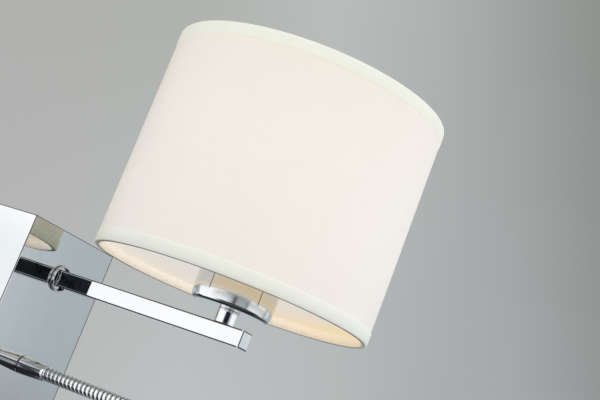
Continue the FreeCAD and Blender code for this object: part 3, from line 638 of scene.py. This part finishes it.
def studio():
    """Two tall softboxes and a dark gap on the camera's side, seen only in reflections; soft light for
    the cloth; and a plain grey backdrop for the camera."""
    world = bpy.data.worlds.new("studio")
    scene.world = world
    world.use_nodes = True
    g = Graph(world.node_tree)
    ahead = g.node("ShaderNodeTexCoord").outputs["Generated"]
    x, y, z = g.parts(ahead)
    degrees = 180 / math.pi

    def dot(a, b, c):
        return g.math("MULTIPLY_ADD", x, a, g.math("MULTIPLY_ADD", y, b, g.times(z, c)))

    # everything is placed by degrees up, and degrees round from the camera's side, minus on its left
    toward, aside = (-0.857, -0.515), (0.515, -0.857)
    rise = g.times(g.math("ARCSINE", z), degrees)
    off = g.times(g.math("ARCTAN2", dot(*aside, 0.0), dot(*toward, 0.0)), degrees)

    def window(value, low, high, soft, soft_high=None):
        """1 from low to high, with soft ends."""
        soft_high = soft if soft_high is None else soft_high
        inside = g.ramp(value, low - soft, low + soft, smooth=True)
        return g.times(inside, g.ramp(value, high - soft_high, high + soft_high, 1.0, 0.0, smooth=True))

    # what polished chrome mirrors: the room, then what stands in it
    colour = g.colours(g.ramp(rise, -30, 70), (0.0, (0.47, 0.51, 0.54)), (0.4, (0.565, 0.625, 0.65)),
                       (0.62, (0.52, 0.57, 0.60)), (1.0, (0.10, 0.105, 0.11)))
    far_right = g.times(window(off, 113, 128, 1.5), window(rise, -10, 30, 8))
    colour = g.mix(far_right, colour, (0.85, 0.92, 0.94))

    left_box = g.times(window(off, -113, -27, 4, 8), window(rise, -52, 48, 14))
    left_foot = g.times(window(off, -113, -10, 4, 14), window(rise, -34, -1, 8, 3))
    left_box = g.larger(left_box, g.times(left_foot, 0.85))
    left_dim = g.times(g.ramp(off, -70.5, -73.5), window(rise, -2, 5, 4, 1))
    colour = g.mix(left_box, colour, g.mix(left_dim, (1.35, 1.34, 1.34), (1.19, 1.22, 1.24)))
    right_box = g.times(window(off, 47, 104, 6), window(rise, -22, 48, 12))
    colour = g.mix(right_box, colour, (1.25, 1.27, 1.29))

    gap = g.times(window(off, -18, 30, 3), window(rise, 0, 12, 1.5, 3))
    mottled = g.ramp(g.noise(ahead, 170, 3, 0.6), 0.45, 0.75, 0.006, 0.07)
    colour = g.mix(gap, colour, g.vector(mottled, g.times(mottled, 1.1), g.times(mottled, 1.35)))
    dull_strip = g.times(window(off, -58, 112, 14), window(rise, -9, -1, 6, 2))
    colour = g.mix(g.times(dull_strip, 0.6), colour, (0.33, 0.345, 0.36))
    stands = g.larger(window(off, 0, 9, 4), g.times(window(off, 38, 43, 4), 0.55))
    stands = g.times(stands, window(rise, -40, -2, 5, 2))
    colour = g.mix(stands, colour, (0.07, 0.065, 0.06))
    over_gap = g.times(window(off, 5, 27, 4), window(rise, 13, 27, 2, 3))
    colour = g.mix(over_gap, colour, (1.05, 1.05, 1.16))
    dark_band = g.times(window(rise, -58, -26, 4, 4), window(off, -48, 100, 14, 8))
    colour = g.mix(dark_band, colour, (0.03, 0.032, 0.035))
    colour = g.mix(g.ramp(rise, -60, -66), colour, (0.24, 0.25, 0.26))
    colour = g.mix(g.ramp(rise, 62, 68), colour, (0.56, 0.58, 0.60))

    # soft light for everything that isn't polished: weakest from the wall side and from below
    side = dot(-0.75, -0.66, 0.0)
    soft = g.colours(g.ramp(side, -1.0, 1.0), (0.0, (0.08, 0.08, 0.08)), (0.35, (0.26, 0.26, 0.27)),
                     (0.62, (1.0, 1.07, 1.20)), (1.0, (0.60, 0.55, 0.46)))
    soft = g.mix(g.ramp(z, -0.5, 0.1, 0.8, 0.0), soft, (0.10, 0.10, 0.105))
    soft = g.mix(g.times(window(off, 49, 139, 25), 0.62), soft, (1.04, 1.14, 1.36))

    # the backdrop: greys from left to right, below and above, and one grey away from the camera's view
    across = g.ramp(dot(0.417, -0.837, 0.354), -0.24, 0.24)
    lift = g.ramp(dot(-0.342, 0.216, 0.914), -0.16, 0.16)

    def greys(*levels):
        places = (0.0, 0.30, 0.56, 0.73, 0.86, 1.0)
        return g.colours(across, *((place, shown(*level)) for place, level in zip(places, levels)))

    low = greys((184, 185, 185), (190, 193, 194), (181, 185, 185), (170, 174, 175), (166, 169, 170),
                (148, 151, 151))
    high = greys((176, 177, 175), (175, 177, 174), (186, 188, 187), (175, 178, 177), (161, 163, 162),
                 (143, 145, 142))
    back = g.mix(lift, low, high)
    back = g.mix(g.ramp(dot(0.842, 0.502, 0.197), 0.95, 0.88), back, shown(178, 181, 181))

    path = g.node("ShaderNodeLightPath").outputs
    light = g.node("ShaderNodeBackground")
    colour = g.mix(path["Is Diffuse Ray"], colour, soft)
    g.join(g.mix(path["Is Camera Ray"], colour, back), light.inputs["Color"])
    out = g.node("ShaderNodeOutputWorld")
    g.tree.links.new(light.outputs[0], out.inputs["Surface"])


studio()


def floor():
    """A wide plain floor far below the lamp, which hangs on a wall."""
    made, g = material("pale_floor")
    fine = g.noise(g.point(), 30, 4)
    g.finish(Base_Color=g.mix(fine, (0.70, 0.70, 0.69), (0.74, 0.74, 0.73)), Roughness=0.85)
    level, radius, sides = -1.8, 14.0, 96
    angles = [2 * math.pi * k / sides for k in range(sides)]
    points = [(radius * math.cos(angle), radius * math.sin(angle), level) for angle in angles]
    mesh = bpy.data.meshes.new("floor")
    mesh.from_pydata(points, [], [tuple(range(sides))])
    mesh.materials.append(made)
    ground = bpy.data.objects.new("floor", mesh)
    scene.collection.objects.link(ground)
    ground.visible_glossy = False


floor()

def bulb_light():
    """A faint warm light high in the bulb; most of the lamp's own light is the glow of its surfaces."""
    bulb = bpy.data.lights.new("bulb_light", "POINT")
    bulb.energy = 0.01
    bulb.color = (1.0, 0.84, 0.66)
    bulb.shadow_soft_size = 0.02
    made = bpy.data.objects.new("bulb_light", bulb)
    made.location = middle("bulb_globe") + Z * 0.03
    scene.collection.objects.link(made)


bulb_light()


# ---- camera ----
def camera():
    """Low on the lamp's left, looking up at it, rolled so that the lamp leans to the right."""
    place = (-0.5644, -0.5142, -0.0006)
    heading, lift, roll = math.radians(59.19), math.radians(11.35), math.radians(21.16)
    run = math.cos(lift)
    forward = Vector((math.sin(heading) * run, math.cos(heading) * run, math.sin(lift)))
    level = forward.cross(Z).normalized()
    right = level * math.cos(roll) + level.cross(forward) * math.sin(roll)
    up = right.cross(forward)
    data = bpy.data.cameras.new("camera")
    data.sensor_width = 36.0
    data.lens = 72.8
    data.clip_start = 0.01
    made = bpy.data.objects.new("camera", data)
    turn = Matrix((right, up, -forward)).transposed().to_4x4()
    made.matrix_world = Matrix.Translation(place) @ turn
    scene.collection.objects.link(made)
    scene.camera = made


camera()
